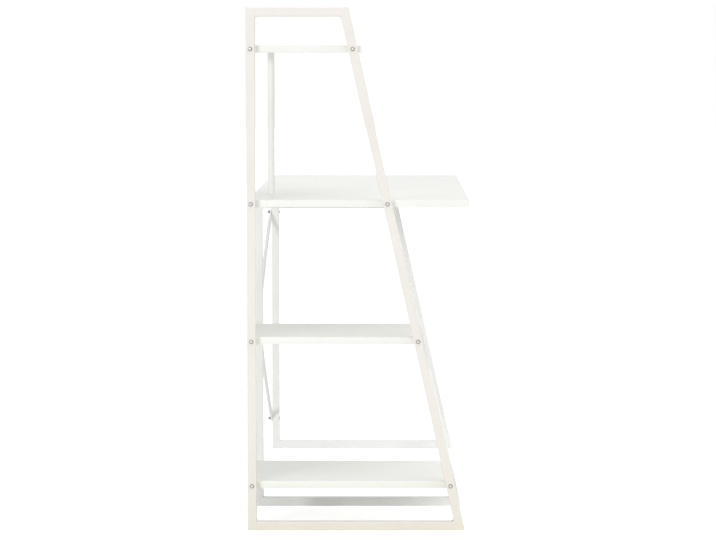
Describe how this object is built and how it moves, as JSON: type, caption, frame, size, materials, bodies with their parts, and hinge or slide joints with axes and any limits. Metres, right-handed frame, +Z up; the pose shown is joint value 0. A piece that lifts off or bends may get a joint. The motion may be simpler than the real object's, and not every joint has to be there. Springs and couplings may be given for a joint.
{
  "type": "computer desk",
  "caption": "Computer desk with a shelf bay at its left end: white boards on welded trapezoid frames of square steel tube, a top shelf on a round post, crossed rods behind.",
  "frame": {"origin": "on the floor, under the middle of the whole desk's box", "axes": "+X along the desk's width, from the tall frame towards the right frame; +Y towards the rear, away from the user; +Z up"},
  "size_m": [1.2028, 0.52, 1.175],
  "materials": {
    "frame_paint": "satin",
    "board_laminate": "satin",
    "edge_band": "satin",
    "screw_steel": "satin",
    "zinc_steel": "satin"
  },
  "bodies": {
    "root": {"tall_frame_rear_post": "frame_paint", "tall_frame_top_bar": "frame_paint", "tall_frame_front_leg": "frame_paint", "tall_frame_bottom_bar": "frame_paint", "middle_frame_rear_post": "frame_paint", "middle_frame_top_bar": "frame_paint", "middle_frame_front_leg": "frame_paint", "middle_frame_bottom_bar": "frame_paint", "right_frame_rear_post": "frame_paint", "right_frame_top_bar": "frame_paint", "right_frame_front_leg": "frame_paint", "right_frame_bottom_bar": "frame_paint", "bottom_shelf": "board_laminate", "bottom_shelf_edge_band": "edge_band", "middle_shelf": "board_laminate", "middle_shelf_edge_band": "edge_band", "desktop": "board_laminate", "desktop_edge_band": "edge_band", "top_shelf": "board_laminate", "top_shelf_edge_band": "edge_band", "support_post": "frame_paint", "support_post_plugs": "zinc_steel", "support_post_bolt": "screw_steel", "support_post_stud": "zinc_steel", "tall_frame_screws": "screw_steel", "middle_frame_screws": "screw_steel", "desktop_screws": "screw_steel", "middle_brace_screws": "screw_steel", "brace_bolts": "screw_steel", "rising_brace_rod": "frame_paint", "falling_brace_rod": "frame_paint", "brace_nuts": "zinc_steel", "brace_rivet": "zinc_steel"}
  },
  "joints": []
}
